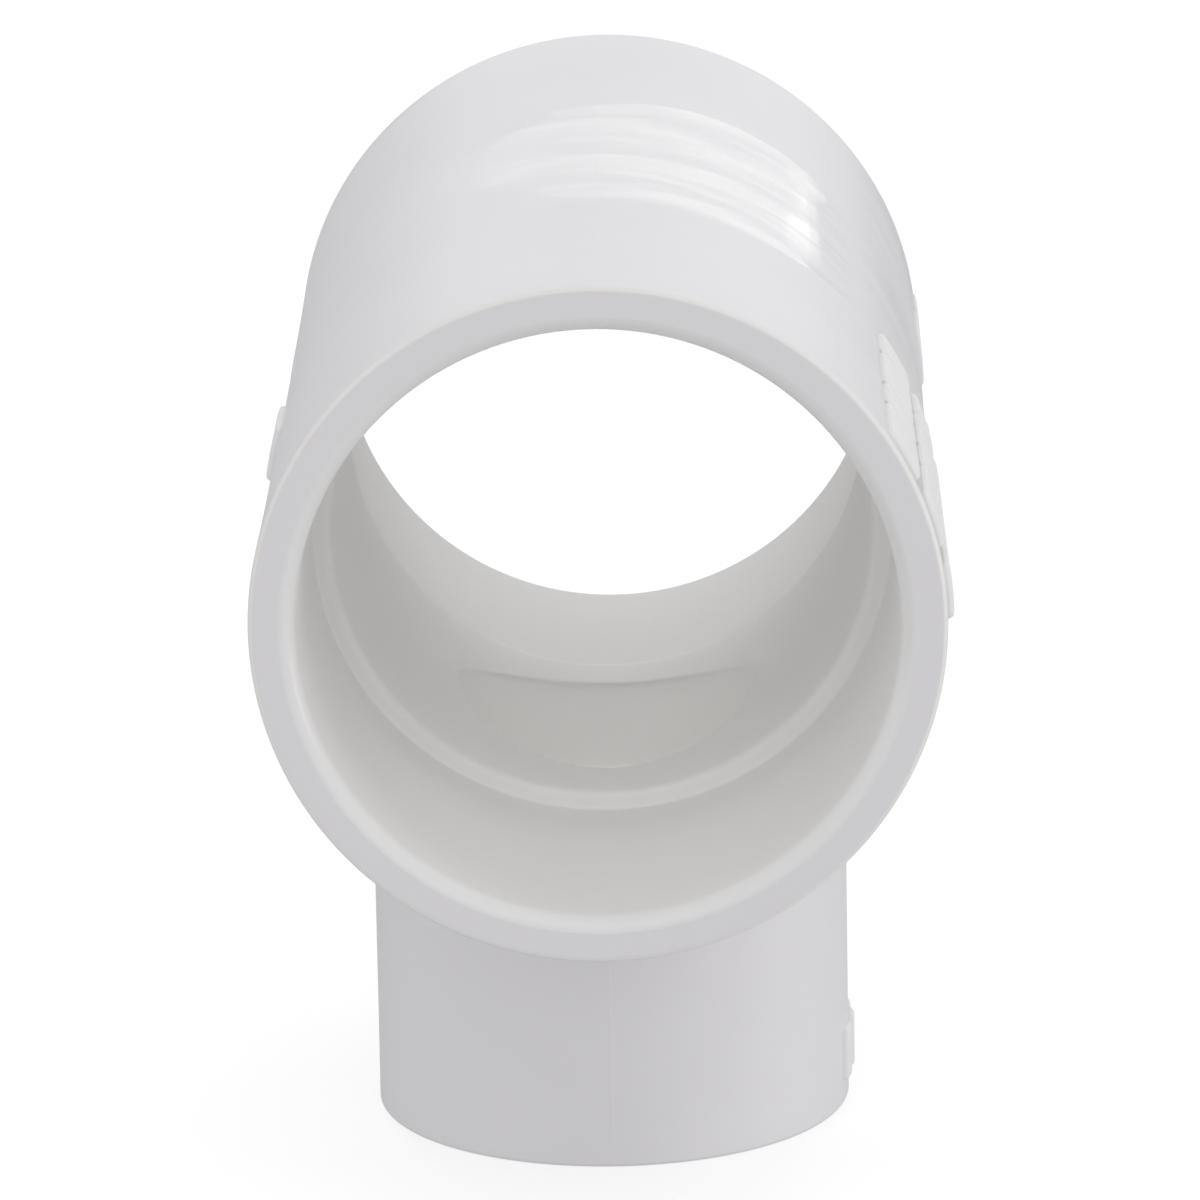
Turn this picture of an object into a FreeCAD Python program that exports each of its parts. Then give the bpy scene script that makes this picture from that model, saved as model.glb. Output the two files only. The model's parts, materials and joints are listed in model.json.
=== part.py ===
import FreeCAD, Part
import math
import os
import Sketcher

# A reducing tee for solvent-welded pipe, moulded in one piece.
# The run lies along Y, the smaller branch points down, and the tee stands on the branch's rim.
# The origin of the finished part is the centre of that rim. Sizes are in millimetres.

NODE = "reducing_tee"

# Driving sizes: name, value and meaning. Radii and widths are measured square to the axis.
SIZES = (
    ("run_mouth_radius", 30.315, "run socket at its mouth"),
    ("run_taper", 0.125, "how much a run socket narrows to its parallel seat"),
    ("run_entry_depth", 12.7, "run face to the start of the parallel seat"),
    ("run_socket_depth", 38.1, "run face to pipe stop"),
    ("run_centre_to_stop", 25.2, "branch axis to each run stop"),
    ("run_wall", 4.685, "wall at a run mouth"),
    ("run_ledge", 1.99, "width of a run stop"),
    ("run_waist", 0.25, "how much slimmer the run's barrel is than its rims"),
    ("branch_mouth_radius", 21.235, "branch socket at its mouth"),
    ("branch_taper", 0.125, "how much the branch socket narrows to its parallel seat"),
    ("branch_entry_depth", 10.6, "branch face to the start of the parallel seat"),
    ("branch_socket_depth", 31.75, "branch face to pipe stop"),
    ("branch_neck", 3.05, "outside of the run to the branch stop"),
    ("branch_wall", 4.3, "wall at the branch mouth"),
    ("branch_ledge", 4.86, "width of the branch stop"),
    ("core_draft_deg", 1.0, "draft of the waterways between the stops"),
    ("junction_round", 3.0, "fillet where the branch leaves the run"),
    ("barrel_margin", 4.0, "straight barrel beyond that fillet, before the hubs widen"),
    ("lead_in_round", 1.6, "rounding inside each mouth"),
    ("rim_round", 0.6, "rounding outside each mouth"),
    ("ledge_round", 0.9, "rounding of each stop's inner edge"),
    ("mark_height", 0.7, "how far the raised marks stand out of the wall"),
    ("mark_long", 12.0, "length of the odd marks of a row along the run"),
    ("mark_short", 7.0, "length of the even marks of a row"),
    ("mark_gap", 1.5, "gap between the marks of a row"),
    ("mark_arc_deg", 9.5, "arc of the run that a mark covers"),
    ("mark_row_deg", 12.0, "angle from one row of marks to the next"),
    ("right_rows", 3, "rows of marks on the run's right side, in front"),
    ("right_marks", 4, "marks in a row there"),
    ("right_marks_start", 1.3, "front face to the first mark there"),
    ("right_rise_deg", 5.0, "middle of the right side up to the lowest row there"),
    ("low_mark_height", 0.4, "how far the lower marks behind those rows stand out"),
    ("middle_mark_start", 45.8, "front face to the one that lies before the branch axis"),
    ("middle_mark_length", 14.0, "length of that one"),
    ("rear_marks", 2, "lower marks on the back hub"),
    ("rear_marks_start", 36.0, "branch axis to the first of them"),
    ("left_mark_length", 21.8, "length of the one mark on the run's left side"),
    ("left_mark_start", 38.5, "front face to that mark"),
    ("left_rise_deg", 12.0, "middle of the left side up to that mark"),
    ("branch_marks", 3, "upright marks on the branch's right side"),
    ("branch_mark_start", 3.0, "branch face to those marks"),
    ("branch_mark_length", 6.0, "length of those marks along the branch"),
    ("branch_mark_arc_deg", 6.0, "arc of the branch that a mark covers"),
    ("branch_mark_pitch_deg", 11.0, "angle from one of those marks to the next"),
)

# Derived sizes, as expressions on the sheet.
HALF_RUN = "(sizes.run_centre_to_stop + sizes.run_socket_depth)"
RUN_STOP = "sizes.run_centre_to_stop"
RUN_SEAT_END = f"({HALF_RUN} - sizes.run_entry_depth)"
RUN_OUTER = "(sizes.run_mouth_radius + sizes.run_wall)"
RUN_BARREL = f"({RUN_OUTER} - sizes.run_waist)"
RUN_SEAT = "(sizes.run_mouth_radius - sizes.run_taper)"
RUN_BORE = f"({RUN_SEAT} - sizes.run_ledge)"
RUN_BORE_MIDDLE = f"({RUN_BORE} - {RUN_STOP} * tan(sizes.core_draft_deg * 1deg))"
RUN_MARK_FOOT = f"({RUN_OUTER} - sizes.run_wall / 2)"
BRANCH_STOP = f"({RUN_OUTER} + sizes.branch_neck)"
BRANCH_REACH = f"({BRANCH_STOP} + sizes.branch_socket_depth)"
BRANCH_SEAT_END = f"({BRANCH_REACH} - sizes.branch_entry_depth)"
BRANCH_OUTER = "(sizes.branch_mouth_radius + sizes.branch_wall)"
BRANCH_SEAT = "(sizes.branch_mouth_radius - sizes.branch_taper)"
BRANCH_BORE = f"({BRANCH_SEAT} - sizes.branch_ledge)"
BRANCH_BORE_TIP = f"({BRANCH_BORE} - {BRANCH_STOP} * tan(sizes.core_draft_deg * 1deg))"
BRANCH_MARK_FOOT = f"({BRANCH_OUTER} - sizes.branch_wall / 2)"
BRANCH_MARK_TOP = f"({BRANCH_OUTER} + sizes.mark_height)"
BRANCH_MARK_END = f"({BRANCH_REACH} - sizes.branch_mark_start)"
HALF_BARREL = f"({BRANCH_OUTER} + sizes.junction_round + sizes.barrel_margin)"

START, END = 1, 2
ORIGIN = (-1, 1)
TOUCH = 1e-4
ON_WALL = 1e-2


def make_sheet(doc):
    """Write the driving sizes into the document's sheet."""
    sheet = doc.addObject("Spreadsheet::Sheet", "sizes")
    for row, (name, value, meaning) in enumerate(SIZES, start=1):
        sheet.set(f"A{row}", meaning)
        sheet.set(f"B{row}", str(value))
        sheet.setAlias(f"B{row}", name)
    doc.recompute()
    return sheet


def measure(sheet, expression):
    """The number that an expression on the sheet has now."""
    result = sheet.evalExpression(expression)
    return float(getattr(result, "Value", result))


def new_sketch(body, name, role="YZ_Plane"):
    """An empty sketch on one of the body's own planes. On the YZ plane across is Y and up is Z."""
    sketch = body.newObject("Sketcher::SketchObject", name)
    plane = next(item for item in body.Origin.OriginFeatures if item.Role == role)
    sketch.AttachmentSupport = (plane, "")
    sketch.MapMode = "FlatFace"
    return sketch


def pin(sketch, sheet, point, corner):
    """Hold a point of the sketch at a corner, given as two expressions."""
    for kind, expression in zip(("DistanceX", "DistanceY"), corner):
        number = measure(sheet, expression)
        index = sketch.addConstraint(Sketcher.Constraint(kind, *ORIGIN, *point, number))
        name = f"{kind.lower()}_{index}"
        sketch.renameConstraint(index, name)
        sketch.setExpression(f"Constraints.{name}", expression)


def draw_outline(sketch, sheet, corners):
    """Close a loop of straight edges through the corners."""
    points = [FreeCAD.Vector(*(measure(sheet, part) for part in corner)) for corner in corners]
    first, count = sketch.GeometryCount, len(points)
    for index in range(count):
        sketch.addGeometry(Part.LineSegment(points[index], points[(index + 1) % count]))
    for index, corner in enumerate(corners):
        line, following = first + index, first + (index + 1) % count
        sketch.addConstraint(Sketcher.Constraint("Coincident", line, END, following, START))
        pin(sketch, sheet, (line, START), corner)


def draw_box(sketch, sheet, across, up):
    """A rectangle between two places across and two places up."""
    near, far = across
    low, high = up
    draw_outline(sketch, sheet, ((near, low), (far, low), (far, high), (near, high)))


def revolve(body, sketch, name, axis, kind="PartDesign::Revolution", arc=None):
    """Turn a sketch about its own H_Axis or V_Axis, to add or to cut.

    With arc, an expression in degrees, the turn covers that arc, half to each side of the sketch.
    """
    feature = body.newObject(kind, name)
    feature.Profile = sketch
    feature.ReferenceAxis = (sketch, [axis])
    if arc is None:
        feature.Angle = 360
    else:
        feature.Midplane = True
        feature.setExpression("Angle", arc)
    sketch.Visibility = False
    body.Document.recompute()
    return feature


def repeat_round(body, name, feature, sketch, count, pitch):
    """Repeat a feature about the sketch's V_Axis, count times, by an expression for each step."""
    pattern = body.newObject("PartDesign::PolarPattern", name)
    pattern.Originals = [feature]
    pattern.Axis = (sketch, ["V_Axis"])
    pattern.Reversed = True
    pattern.setExpression("Angle", f"{pitch} * ({count} - 1)")
    pattern.setExpression("Occurrences", count)
    body.Tip = pattern
    body.Document.recompute()
    return pattern


def both_halves(corners, middle=()):
    """Corners from the front face to the middle, then the same ones mirrored to the back face."""
    return corners + list(middle) + [(across[1:], up) for across, up in reversed(corners)]


def make_run(body, sheet):
    """The solid run: a straight barrel between two hubs that widen to their rims."""
    sketch = new_sketch(body, "run_outline")
    front_half = [
        (f"-{HALF_RUN}", "0"),
        (f"-{HALF_RUN}", RUN_OUTER),
        (f"-{HALF_BARREL}", RUN_BARREL),
    ]
    draw_outline(sketch, sheet, both_halves(front_half))
    return revolve(body, sketch, "run_solid", "H_Axis")


def run_wall_at(place):
    """The run's outside radius at a place along it, as an expression: a barrel, then a hub's cone."""
    share = f"max(0; abs({place}) - {HALF_BARREL}) / ({HALF_RUN} - {HALF_BARREL})"
    return f"({RUN_BARREL} + sizes.run_waist * {share})"


def draw_mark(sketch, sheet, side, low, high, height):
    """A bar that stands out of the run's wall between two places, on the side with a sign."""
    corners = [(f"{side}{RUN_MARK_FOOT}", low)]
    corners += [(f"{side}({run_wall_at(place)} + {height})", place) for place in (low, high)]
    corners.append((f"{side}{RUN_MARK_FOOT}", high))
    draw_outline(sketch, sheet, corners)


def draw_row(sketch, sheet, start, count, height):
    """A row of bars, long and short by turns, that begins at start and runs towards the back."""
    for index in range(round(measure(sheet, count))):
        longs, shorts = (index + 1) // 2, index // 2
        low = f"{start} + {longs} * sizes.mark_long + {shorts} * sizes.mark_short"
        low += f" + {index} * sizes.mark_gap"
        length = "sizes.mark_short" if index % 2 else "sizes.mark_long"
        draw_mark(sketch, sheet, "", low, f"{low} + {length}", height)


def tilted_sketch(body, name, role, axis, rise):
    """An empty sketch on one of the body's planes, turned about an axis by an expression in degrees."""
    sketch = new_sketch(body, name, role)
    turn = FreeCAD.Rotation(FreeCAD.Vector(*axis), 1)
    sketch.AttachmentOffset = FreeCAD.Placement(FreeCAD.Vector(), turn)
    sketch.setExpression("AttachmentOffset.Rotation.Angle", rise)
    return sketch


def add_right_marks(body, sheet):
    """Rows of plain raised bars above the middle of the run's right side, near its front rim."""
    sketch = tilted_sketch(
        body, "right_marks_outline", "XY_Plane", (0, -1, 0), "sizes.right_rise_deg")
    start = f"-{HALF_RUN} + sizes.right_marks_start"
    draw_row(sketch, sheet, start, "sizes.right_marks", "sizes.mark_height")
    row = revolve(body, sketch, "right_marks", "V_Axis", arc="sizes.mark_arc_deg")
    return repeat_round(
        body, "right_mark_rows", row, sketch, "sizes.right_rows", "sizes.mark_row_deg")


def add_low_marks(body, sheet):
    """Lower bars in line with the lowest of those rows: one by the branch and a few at the back."""
    sketch = tilted_sketch(
        body, "low_marks_outline", "XY_Plane", (0, -1, 0), "sizes.right_rise_deg")
    low, height = f"-{HALF_RUN} + sizes.middle_mark_start", "sizes.low_mark_height"
    draw_mark(sketch, sheet, "", low, f"{low} + sizes.middle_mark_length", height)
    draw_row(sketch, sheet, "sizes.rear_marks_start", "sizes.rear_marks", height)
    return revolve(body, sketch, "low_marks", "V_Axis", arc="sizes.mark_arc_deg")


def add_left_mark(body, sheet):
    """One long raised bar above the middle of the run's left side, before the branch axis."""
    sketch = tilted_sketch(
        body, "left_mark_outline", "XY_Plane", (0, 1, 0), "sizes.left_rise_deg")
    low = f"-{HALF_RUN} + sizes.left_mark_start"
    draw_mark(sketch, sheet, "-", low, f"{low} + sizes.left_mark_length", "sizes.mark_height")
    return revolve(body, sketch, "left_mark", "V_Axis", arc="sizes.mark_arc_deg")


def make_branch(body, sheet):
    """The solid branch, from the run's axis down to its rim."""
    sketch = new_sketch(body, "branch_outline")
    draw_box(sketch, sheet, ("0", BRANCH_OUTER), (f"-{BRANCH_REACH}", "0"))
    return revolve(body, sketch, "branch_solid", "V_Axis")


def add_branch_marks(body, sheet):
    """Upright raised bars on the branch's right side, near its rim."""
    half_row = "sizes.branch_mark_pitch_deg * (sizes.branch_marks - 1) / 2"
    sketch = tilted_sketch(body, "branch_marks_outline", "XZ_Plane", (0, 1, 0), half_row)
    up = (f"-{BRANCH_MARK_END}", f"-{BRANCH_MARK_END} + sizes.branch_mark_length")
    draw_box(sketch, sheet, (BRANCH_MARK_FOOT, BRANCH_MARK_TOP), up)
    mark = revolve(body, sketch, "branch_mark", "V_Axis", arc="sizes.branch_mark_arc_deg")
    return repeat_round(
        body, "branch_marks", mark, sketch, "sizes.branch_marks", "sizes.branch_mark_pitch_deg")


def cut_run_waterway(body, sheet):
    """Both run sockets, their stops and the drafted bore between them."""
    sketch = new_sketch(body, "run_waterway_outline")
    front_half = [
        (f"-{HALF_RUN}", "0"),
        (f"-{HALF_RUN}", "sizes.run_mouth_radius"),
        (f"-{RUN_SEAT_END}", RUN_SEAT),
        (f"-{RUN_STOP}", RUN_SEAT),
        (f"-{RUN_STOP}", RUN_BORE),
    ]
    draw_outline(sketch, sheet, both_halves(front_half, [("0", RUN_BORE_MIDDLE)]))
    return revolve(body, sketch, "run_waterway", "H_Axis", "PartDesign::Groove")


def cut_branch_waterway(body, sheet):
    """The branch socket, its stop and the drafted bore up into the run."""
    sketch = new_sketch(body, "branch_waterway_outline")
    corners = (
        ("0", "0"),
        ("0", f"-{BRANCH_REACH}"),
        ("sizes.branch_mouth_radius", f"-{BRANCH_REACH}"),
        (BRANCH_SEAT, f"-{BRANCH_SEAT_END}"),
        (BRANCH_SEAT, f"-{BRANCH_STOP}"),
        (BRANCH_BORE, f"-{BRANCH_STOP}"),
        (BRANCH_BORE_TIP, "0"),
    )
    draw_outline(sketch, sheet, corners)
    return revolve(body, sketch, "branch_waterway", "V_Axis", "PartDesign::Groove")


def ring_edges(shape, radius, axis, offsets):
    """Names of the full circles of one radius about an axis, at given places along it."""
    names = []
    for number, edge in enumerate(shape.Edges, start=1):
        if not isinstance(edge.Curve, Part.Circle) or abs(edge.Curve.Radius - radius) > TOUCH:
            continue
        place = edge.Curve.Center.dot(axis)
        on_axis = (edge.Curve.Center - axis * place).Length < TOUCH
        if on_axis and any(abs(place - offset) < TOUCH for offset in offsets):
            names.append(f"Edge{number}")
    return names


def junction_edges(shape, radius, run_radius):
    """Names of the curves that the branch's round wall draws on the outside of the run."""
    names = []
    for number, edge in enumerate(shape.Edges, start=1):
        if isinstance(edge.Curve, (Part.Circle, Part.Line)):
            continue
        points = edge.discretize(9)
        on_branch = all(abs(math.hypot(point.x, point.y) - radius) < ON_WALL for point in points)
        if on_branch and all(-run_radius < point.z < 0 for point in points):
            names.append(f"Edge{number}")
    return names


def round_edges(body, name, base, edges, size):
    """Fillet named edges of a feature with a size from the sheet."""
    if not edges:
        raise RuntimeError(f"{name}: no edge to round")
    feature = body.newObject("PartDesign::Fillet", name)
    feature.Base = (base, edges)
    feature.setExpression("Radius", f"sizes.{size}")
    body.Document.recompute()
    return feature


def round_junction(body, sheet, base):
    """The fillet where the branch leaves the run."""
    edges = junction_edges(base.Shape, measure(sheet, BRANCH_OUTER), measure(sheet, RUN_OUTER))
    return round_edges(body, "junction_fillet", base, edges, "junction_round")


def round_rings(body, sheet, base):
    """Lead-ins inside the mouths, eased rims outside them and eased stops."""
    along_run = FreeCAD.Vector(0, 1, 0)
    along_branch = FreeCAD.Vector(0, 0, -1)
    half_run, run_stop = measure(sheet, HALF_RUN), measure(sheet, RUN_STOP)
    reach, branch_stop = measure(sheet, BRANCH_REACH), measure(sheet, BRANCH_STOP)
    groups = (
        ("mouth_lead_ins", "lead_in_round", "sizes.run_mouth_radius", half_run,
         "sizes.branch_mouth_radius", reach),
        ("rim_rounds", "rim_round", RUN_OUTER, half_run, BRANCH_OUTER, reach),
        ("stop_rounds", "ledge_round", RUN_BORE, run_stop, BRANCH_BORE, branch_stop),
    )
    for name, size, run_radius, run_place, branch_radius, branch_place in groups:
        edges = ring_edges(base.Shape, measure(sheet, run_radius), along_run, (-run_place, run_place))
        edges += ring_edges(base.Shape, measure(sheet, branch_radius), along_branch, (branch_place,))
        if len(edges) != 3:
            raise RuntimeError(f"{name}: {len(edges)} edges found, not 3")
        base = round_edges(body, name, base, edges, size)
    return base


def check_document(doc):
    """Stop if any object of the document failed to compute."""
    for item in doc.Objects:
        if {"Invalid", "Error"} & set(item.State):
            raise RuntimeError(f"{item.Name}: {item.State}")


def check_cut(before, after):
    """Stop if a cut took nothing away."""
    if after.Shape.Volume > before.Shape.Volume - 1.0:
        raise RuntimeError(f"{after.Name} cuts nothing")


def make_tee(doc, sheet):
    """The whole tee as one body, placed so that it stands on its branch rim."""
    body = doc.addObject("PartDesign::Body", NODE)
    body.Label = NODE
    body.setExpression("Placement.Base.z", BRANCH_REACH)
    make_run(body, sheet)
    add_right_marks(body, sheet)
    add_low_marks(body, sheet)
    add_left_mark(body, sheet)
    make_branch(body, sheet)
    marked = add_branch_marks(body, sheet)
    run_waterway = cut_run_waterway(body, sheet)
    check_cut(marked, run_waterway)
    branch_waterway = cut_branch_waterway(body, sheet)
    check_cut(run_waterway, branch_waterway)
    junction = round_junction(body, sheet, branch_waterway)
    body.Tip = round_rings(body, sheet, junction)
    return body


def main():
    doc = FreeCAD.newDocument("reducing_tee_model")
    sheet = make_sheet(doc)
    body = make_tee(doc, sheet)
    doc.recompute()
    check_document(doc)
    shape = body.Shape
    if shape.isNull() or not shape.isValid() or len(shape.Solids) != 1:
        raise RuntimeError(f"{body.Label} is not one valid solid")
    os.makedirs("parts", exist_ok=True)
    shape.exportStep(f"parts/{body.Label}.step")
    box = shape.optimalBoundingBox()
    print(f"{body.Label}: {shape.Volume / 1000:.2f} cm3, {box.XLength:.2f} x {box.YLength:.2f} x"
          f" {box.ZLength:.2f} mm, lowest {box.ZMin:.4f}")


main()
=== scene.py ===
"""Looks of a white moulded reducing tee for solvent-welded pipe.

The run lies along Y, the smaller branch points down, and the tee stands on the branch's rim.
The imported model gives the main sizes, the property groups hold the rest, and all are in metres.
Angles round the run start at its bottom and grow towards +X. Angles round the branch start at +X.
"""

import json
import math

import bmesh
import bpy
from mathutils import Matrix, Vector, noise


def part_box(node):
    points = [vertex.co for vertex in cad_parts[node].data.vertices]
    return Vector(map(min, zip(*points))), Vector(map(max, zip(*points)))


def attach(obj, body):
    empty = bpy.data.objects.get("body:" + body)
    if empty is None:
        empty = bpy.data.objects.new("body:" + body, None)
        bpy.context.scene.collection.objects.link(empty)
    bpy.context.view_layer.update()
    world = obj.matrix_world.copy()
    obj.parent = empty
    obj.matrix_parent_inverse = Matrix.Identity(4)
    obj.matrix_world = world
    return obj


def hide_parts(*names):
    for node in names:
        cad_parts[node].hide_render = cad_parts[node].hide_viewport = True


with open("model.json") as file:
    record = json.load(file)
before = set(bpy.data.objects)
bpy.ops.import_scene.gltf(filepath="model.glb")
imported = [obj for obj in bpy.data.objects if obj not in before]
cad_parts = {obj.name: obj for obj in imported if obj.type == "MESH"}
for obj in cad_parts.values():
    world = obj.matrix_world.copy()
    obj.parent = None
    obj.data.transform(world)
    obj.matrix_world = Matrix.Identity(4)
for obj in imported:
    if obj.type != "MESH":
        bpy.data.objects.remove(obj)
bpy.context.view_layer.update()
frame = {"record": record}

bl_info = {
    "name": "White Reducing Tee",
    "version": (1, 0, 0),
    "blender": (4, 5, 0),
    "location": "3D View > Sidebar > Tee",
    "description": "Moulds a white reducing tee for solvent-welded pipe and sets its stage",
    "category": "Add Mesh",
}

MM = 0.001
TINY = 1e-7
NEAREST = 0.05 * MM
FULL_TURN = 2 * math.pi

# Beside the rims the parting line and the ripple are gone, and they grow over these lengths.
RIM_CLEAR = 1 * MM
RUN_FADE = 6 * MM
BRANCH_FADE = 3 * MM
RIPPLE_FADE = 8 * MM

NODE = "reducing_tee"
BODY = "root"
_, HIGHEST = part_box(NODE)
MOUNTS = {mount["name"]: mount for mount in frame["record"]["mounts"]}


def seat_of(name, direction):
    """Radius of a socket's parallel seat, and its near and far end along an axis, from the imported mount."""
    mount = MOUNTS[name]
    half = mount["dims"]["length_mm"] * MM / 2
    middle = mount["pos_m"][direction]
    return mount["dims"]["r_mm"] * MM, middle - half, middle + half


RUN_HEIGHT = MOUNTS["run_socket_back"]["pos_m"][2]
RUN_SEAT, RUN_STOP, RUN_SEAT_END = seat_of("run_socket_back", 1)
BRANCH_SEAT, BRANCH_SEAT_END, BRANCH_STOP = seat_of("branch_socket", 2)


def length(name, description, default):
    """A size in metres that the sidebar shows."""
    return bpy.props.FloatProperty(
        name=name, description=description, default=default, unit="LENGTH", precision=5)


def angle(name, description, degrees):
    """An angle that the sidebar shows in degrees."""
    return bpy.props.FloatProperty(
        name=name, description=description, default=math.radians(degrees), subtype="ANGLE")


def count(name, description, default):
    """A whole number of like things."""
    return bpy.props.IntProperty(name=name, description=description, default=default, min=1)


def colour(name, description, default):
    """A linear colour."""
    return bpy.props.FloatVectorProperty(
        name=name, description=description, default=default, subtype="COLOR", size=3, min=0, max=1)


def share(name, description, default, highest=1.0):
    """A plain number from 0 upwards."""
    return bpy.props.FloatProperty(
        name=name, description=description, default=default, subtype="FACTOR", min=0, max=highest)


class TeeSizes(bpy.types.PropertyGroup):
    """Sizes of the moulding."""

    run_rim: length("Run rim", "Outside radius of the run at its rims", HIGHEST.z - RUN_HEIGHT)
    run_waist: length("Run waist", "How much slimmer the run's barrel is than its rims", 0.25 * MM)
    hub_step: length("Hub step", "How much of the waist each hub's soft step takes", 0.08 * MM)
    step_start: length("Step start", "Branch axis to the start of that step", 17.0 * MM)
    step_width: length("Step width", "Length of the step along the run", 6.0 * MM)
    half_run: length("Half run", "Branch axis to a run face", HIGHEST.y)
    run_flare: length("Run flare", "How much a run socket widens from its seat to its mouth", 0.125 * MM)
    run_ledge: length("Run ledge", "Width of a run's pipe stop", 1.99 * MM)
    core_draft: angle("Core draft", "Draft of the waterways between the stops", 1.0)
    branch_rim: length("Branch rim", "Outside radius of the branch", 25.535 * MM)
    branch_flare: length("Branch flare", "How much the branch socket widens to its mouth", 0.125 * MM)
    branch_ledge: length("Branch ledge", "Width of the branch's pipe stop", 4.86 * MM)
    junction_round: length("Junction round", "Fillet where the branch leaves the run", 3.0 * MM)
    crossing_round: length("Crossing round", "Easing of the edge where the waterways cross", 0.8 * MM)
    lead_in_round: length("Lead-in round", "Width of the easing inside each mouth", 1.6 * MM)
    lead_in_flat: share("Lead-in flatness", "How flat that easing is, from a round to a chamfer", 0.3)
    rim_round: length("Rim round", "Rounding outside each mouth", 0.6 * MM)
    ledge_round: length("Ledge round", "Rounding of each stop's inner edge", 0.9 * MM)
    seat_round: length("Seat round", "Rounding in the corner of each socket's floor", 0.3 * MM)
    parting_height: length("Parting height", "How far the parting line stands out", 0.03 * MM)
    parting_width: length("Parting width", "Width of the parting line", 0.45 * MM)
    ripple: length("Ripple", "Depth of the faint waves that cooling leaves in the outside", 0.03 * MM)
    ripple_size: length("Ripple size", "Distance between those waves", 21 * MM)


class TeeMarks(bpy.types.PropertyGroup):
    """Rows of plain raised bars on the moulding."""

    height: length("Bar height", "How far most bars stand out", 0.68 * MM)
    low_height: length("Low bar height", "How far the lower bars behind the rows stand out", 0.38 * MM)
    long: length("Long bar", "Length of the odd bars of a row", 12.0 * MM)
    short: length("Short bar", "Length of the even bars of a row", 7.0 * MM)
    gap: length("Gap", "Gap between the bars of a row", 1.5 * MM)
    arc: angle("Bar arc", "Arc of the run that a bar covers", 9.5)
    pitch: angle("Row pitch", "Angle from one row to the next", 12.0)
    right_rise: angle("Right rise", "Middle of the right side up to the lowest row", 5.0)
    right_rows: count("Right rows", "Rows in front on the right side", 3)
    right_bars: count("Right bars", "Bars in each of those rows", 4)
    right_start: length("Right start", "Front face to those rows", 1.3 * MM)
    middle_start: length("Middle start", "Front face to the low bar by the branch", 45.8 * MM)
    middle_length: length("Middle length", "Length of that bar", 14.0 * MM)
    rear_bars: count("Rear bars", "Low bars on the back hub", 2)
    rear_start: length("Rear start", "Branch axis to the first of them", 36.0 * MM)
    left_rise: angle("Left rise", "Middle of the left side up to its one bar", 12.0)
    left_start: length("Left start", "Front face to that bar", 43.8 * MM)
    left_length: length("Left length", "Length of that bar", 10.5 * MM)
    branch_bars: count("Branch bars", "Upright bars on the branch", 3)
    branch_arc: angle("Branch bar arc", "Arc of the branch that a bar covers", 6.0)
    branch_pitch: angle("Branch bar pitch", "Angle from one of them to the next", 11.0)
    branch_start: length("Branch start", "Branch rim to its bars", 3.0 * MM)
    branch_length: length("Branch length", "Length of those bars", 6.0 * MM)


class TeeFinish(bpy.types.PropertyGroup):
    """Colours and gloss of the plastic."""

    white: colour("White", "Colour of the plastic", (0.955, 0.938, 0.955))
    shade: colour("Shade", "Its colour where the melt flowed in last", (0.938, 0.922, 0.94))
    warm: colour("Warm", "Its colour in the sockets", (0.975, 0.966, 0.955))
    core: colour("Core", "Its colour between the stops", (0.977, 0.967, 0.953))
    # This colour is painted shade on the flat rims.
    rim: colour("Rim", "Its colour on the flat rims", (0.905, 0.887, 0.91))
    # This colour is a painted highlight on the pipe stops and the mouths' easings.
    lip: colour("Lip", "Its colour on the pipe stops and the mouths' easings", (0.985, 0.978, 0.96))
    # This colour is a painted highlight on the rims' outer edges.
    edge: colour("Edge", "Its colour on the rims' rubbed outer edges", (0.985, 0.977, 0.95))
    # This colour is painted shade on the right side of the run.
    dusty: colour("Dusty", "Its colour on the right side, where dust clings", (0.8, 0.79, 0.805))
    # This colour is painted shade between the raised bars.
    grime: colour("Grime", "Its colour between the raised bars, where dust gathers", (0.74, 0.73, 0.73))
    # This colour is a painted highlight on the raised bars' tops.
    chalk: colour("Chalk", "Colour of the raised bars' dry tops", (0.995, 0.995, 0.985))
    # This colour is a painted reflection on the patch's streaks, whose coat also gives them real gloss.
    streak_highlight: colour("Polish", "Colour of the streaks on top of the run", (0.975, 0.972, 0.98))
    roughness: share("Roughness", "Roughness of the moulded skin", 0.4)
    inner_roughness: share("Inner roughness", "Roughness of the skin inside", 0.5)
    lip_roughness: share("Lip roughness", "Roughness of the eased edges inside", 0.3)
    patch_coat: share("Patch coat", "Weight of the glossy skin on the polished patch", 0.7)
    patch_turn: angle("Patch turn", "Top of the run to the middle of the polished patch", 23.0)
    patch_arc: angle("Patch arc", "Half the arc that the patch covers", 52.0)
    patch_middle: length("Patch middle", "Branch axis to the middle of the patch", 2.0 * MM)
    patch_half: length("Patch half", "Half its length along the run", 26.0 * MM)
    gloss_low: share("Gloss low", "Share of that weight at the patch's left end", 0.45)
    gloss_rise: angle("Gloss rise", "Half the arc over the top in which it reaches its full weight", 25.0)
    gloss_end: angle("Gloss end", "Top of the run to where the patch's gloss starts to fade", 40.0)
    gloss_fade: angle("Gloss fade", "Arc over which it fades", 14.0)
    # Where the right side's painted shade starts, ends and fades.
    shade_start: angle("Dust start", "Top of the run to the middle of the dusty side's upper end", 66.0)
    shade_end: angle("Dust end", "Top of the run to its lower end", 92.0)
    shade_fade: angle("Dust fade", "Arc over which each of its ends fades", 18.0)


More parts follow.
